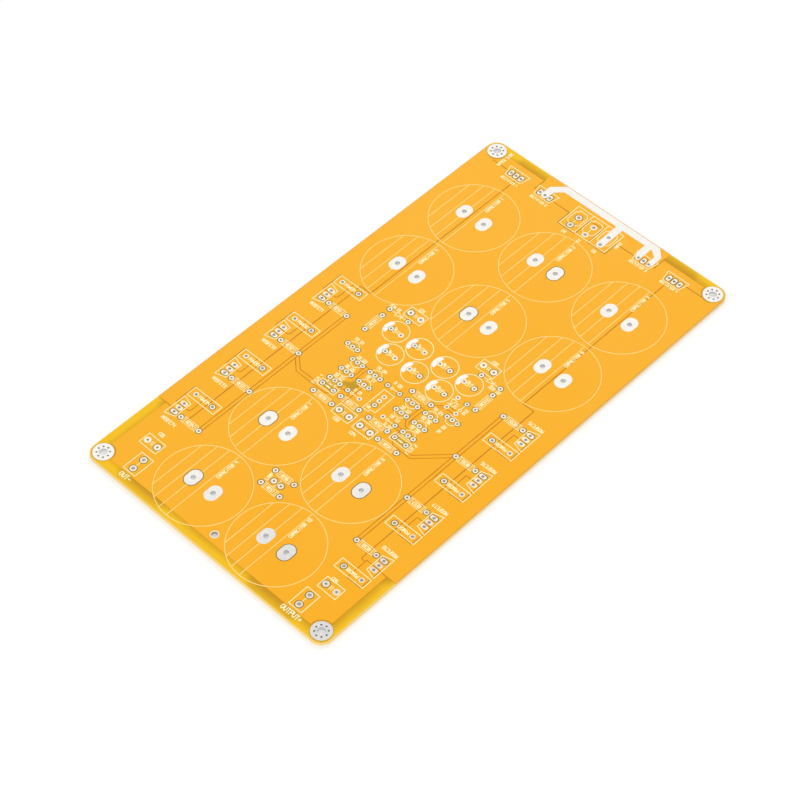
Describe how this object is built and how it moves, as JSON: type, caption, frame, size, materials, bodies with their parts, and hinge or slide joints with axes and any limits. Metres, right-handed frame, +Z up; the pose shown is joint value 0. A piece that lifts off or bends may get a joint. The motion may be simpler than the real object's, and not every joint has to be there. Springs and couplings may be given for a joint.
{
  "type": "power supply circuit board",
  "caption": "Bare rectangular circuit board with rounded corners, corner mounting holes, drilled lead holes, tinned lands, a bare bus strip and printed capacitor outlines.",
  "frame": {"origin": "middle of the underside of the panel", "axes": "+X across the board, +Y along it towards the input terminals, +Z up out of the printed face"},
  "size_m": [0.12, 0.22, 0.0016],
  "materials": {
    "solder_mask": "glossy orange solder mask over copper, cream laminate at the cut edge",
    "tinned_copper": "bright solder-levelled tin",
    "legend_ink": "matt white printed ink"
  },
  "bodies": {
    "root": {"board_panel": "solder_mask", "mounting_lands": "tinned_copper", "reservoir_lands": "tinned_copper", "input_bus_strip": "tinned_copper", "reservoir_outlines": "legend_ink"}
  },
  "joints": []
}
